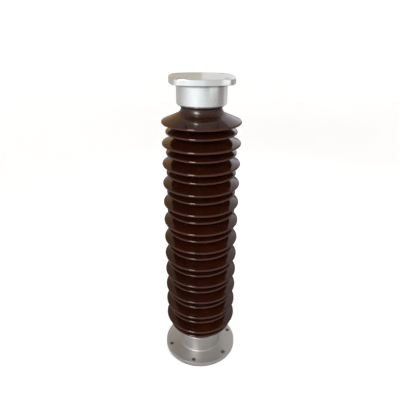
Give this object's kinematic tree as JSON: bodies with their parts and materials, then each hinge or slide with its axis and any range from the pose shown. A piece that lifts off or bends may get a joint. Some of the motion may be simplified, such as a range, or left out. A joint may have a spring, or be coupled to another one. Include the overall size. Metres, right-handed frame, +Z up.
{
  "type": "station post insulator",
  "caption": "Upright porcelain post insulator with alternating large and small sheds, a round bolted base flange and a square bolted top plate, each cemented on.",
  "frame": {"origin": "centre of the bottom mounting face, on the insulator's axis", "axes": "+Z up the axis from the bottom flange to the top plate; X and Y parallel to the sides of the square top plate"},
  "size_m": [0.32, 0.32, 1.2225],
  "materials": {
    "glazed_porcelain": "dark brown gloss glaze",
    "cast_aluminium": "sand cast, machined faces",
    "cement": "matt Portland cement",
    "porcelain_sand": "coarse fired grit",
    "bitumen": "black bitumen, satin",
    "cushion_board": "bitumen-soaked board"
  },
  "bodies": {
    "root": {"porcelain_body": "glazed_porcelain", "bottom_flange": "cast_aluminium", "bottom_cushion": "cushion_board", "bottom_sand_band": "porcelain_sand", "bottom_cement": "cement", "bottom_seal": "bitumen", "top_flange": "cast_aluminium", "top_cushion": "cushion_board", "top_sand_band": "porcelain_sand", "top_cement": "cement", "top_seal": "bitumen"}
  },
  "joints": []
}
